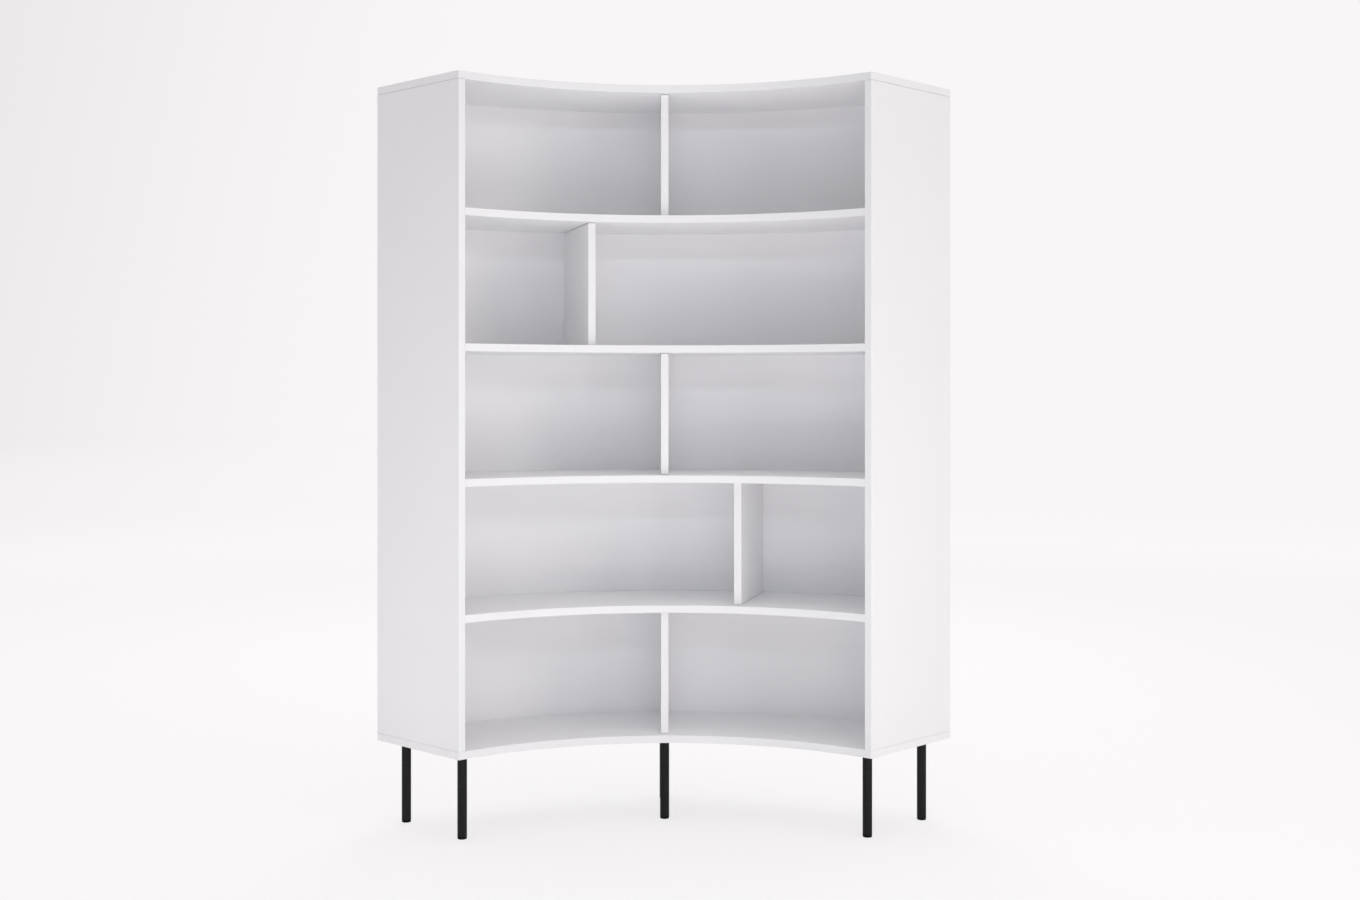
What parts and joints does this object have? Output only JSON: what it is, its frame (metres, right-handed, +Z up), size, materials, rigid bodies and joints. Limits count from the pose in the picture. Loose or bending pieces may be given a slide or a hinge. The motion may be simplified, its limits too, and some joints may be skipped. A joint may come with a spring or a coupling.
{
  "type": "corner shelf unit",
  "caption": "Tall open corner shelf unit with a curved concave front, angled flat sides, staggered upright dividers, a curved back and slim round levelling legs",
  "frame": {"origin": "on the floor under the middle of the unit's bounding box, with the levelling feet screwed fully in", "axes": "+X to the right seen from the front, +Y to the back, +Z up; the concave front faces -Y"},
  "size_m": [1.5498, 0.5482, 1.98],
  "materials": {
    "white_lacquer": "matt white lacquer on fibreboard",
    "black_steel": "fine black powder coat",
    "black_plastic": "matt black moulded plastic",
    "zinc_steel": "bright zinc plate",
    "beech": "bare beech"
  },
  "bodies": {
    "carcass": {"top_board": "white_lacquer", "shelf_1": "white_lacquer", "shelf_2": "white_lacquer", "shelf_3": "white_lacquer", "shelf_4": "white_lacquer", "bottom_board": "white_lacquer", "left_side_panel": "white_lacquer", "right_side_panel": "white_lacquer", "divider_1": "white_lacquer", "divider_2": "white_lacquer", "divider_3": "white_lacquer", "divider_4": "white_lacquer", "divider_5": "white_lacquer", "back_panel": "white_lacquer", "dowel_top_left_1": "beech", "dowel_top_left_2": "beech", "dowel_top_left_3": "beech", "dowel_top_right_1": "beech", "dowel_top_right_2": "beech", "dowel_top_right_3": "beech", "dowel_bottom_left_1": "beech", "dowel_bottom_left_2": "beech", "dowel_bottom_left_3": "beech", "dowel_bottom_right_1": "beech", "dowel_bottom_right_2": "beech", "dowel_bottom_right_3": "beech", "leg_tube_front_left": "black_steel", "leg_tube_front_centre": "black_steel", "leg_tube_front_right": "black_steel", "leg_tube_rear_left": "black_steel", "leg_tube_rear_centre": "black_steel", "leg_tube_rear_right": "black_steel", "leg_stud_front_left": "zinc_steel", "leg_stud_front_centre": "zinc_steel", "leg_stud_front_right": "zinc_steel", "leg_stud_rear_left": "zinc_steel", "leg_stud_rear_centre": "zinc_steel", "leg_stud_rear_right": "zinc_steel", "leg_nut_front_left": "zinc_steel", "leg_nut_front_centre": "zinc_steel", "leg_nut_front_right": "zinc_steel", "leg_nut_rear_left": "zinc_steel", "leg_nut_rear_centre": "zinc_steel", "leg_nut_rear_right": "zinc_steel", "foot_insert_front_left": "black_plastic", "foot_insert_front_centre": "black_plastic", "foot_insert_front_right": "black_plastic", "foot_insert_rear_left": "black_plastic", "foot_insert_rear_centre": "black_plastic", "foot_insert_rear_right": "black_plastic"},
    "levelling_foot_front_left": {"foot_front_left": "black_plastic"},
    "levelling_foot_front_centre": {"foot_front_centre": "black_plastic"},
    "levelling_foot_front_right": {"foot_front_right": "black_plastic"},
    "levelling_foot_rear_left": {"foot_rear_left": "black_plastic"},
    "levelling_foot_rear_centre": {"foot_rear_centre": "black_plastic"},
    "levelling_foot_rear_right": {"foot_rear_right": "black_plastic"}
  },
  "joints": [
    {"name": "foot_screw_front_left", "type": "slide", "parent": "carcass", "child": "levelling_foot_front_left", "axis": [0, 0, -1], "range_m": [0, 0.01]},
    {"name": "foot_screw_front_centre", "type": "slide", "parent": "carcass", "child": "levelling_foot_front_centre", "axis": [0, 0, -1], "range_m": [0, 0.01]},
    {"name": "foot_screw_front_right", "type": "slide", "parent": "carcass", "child": "levelling_foot_front_right", "axis": [0, 0, -1], "range_m": [0, 0.01]},
    {"name": "foot_screw_rear_left", "type": "slide", "parent": "carcass", "child": "levelling_foot_rear_left", "axis": [0, 0, -1], "range_m": [0, 0.01]},
    {"name": "foot_screw_rear_centre", "type": "slide", "parent": "carcass", "child": "levelling_foot_rear_centre", "axis": [0, 0, -1], "range_m": [0, 0.01]},
    {"name": "foot_screw_rear_right", "type": "slide", "parent": "carcass", "child": "levelling_foot_rear_right", "axis": [0, 0, -1], "range_m": [0, 0.01]}
  ]
}
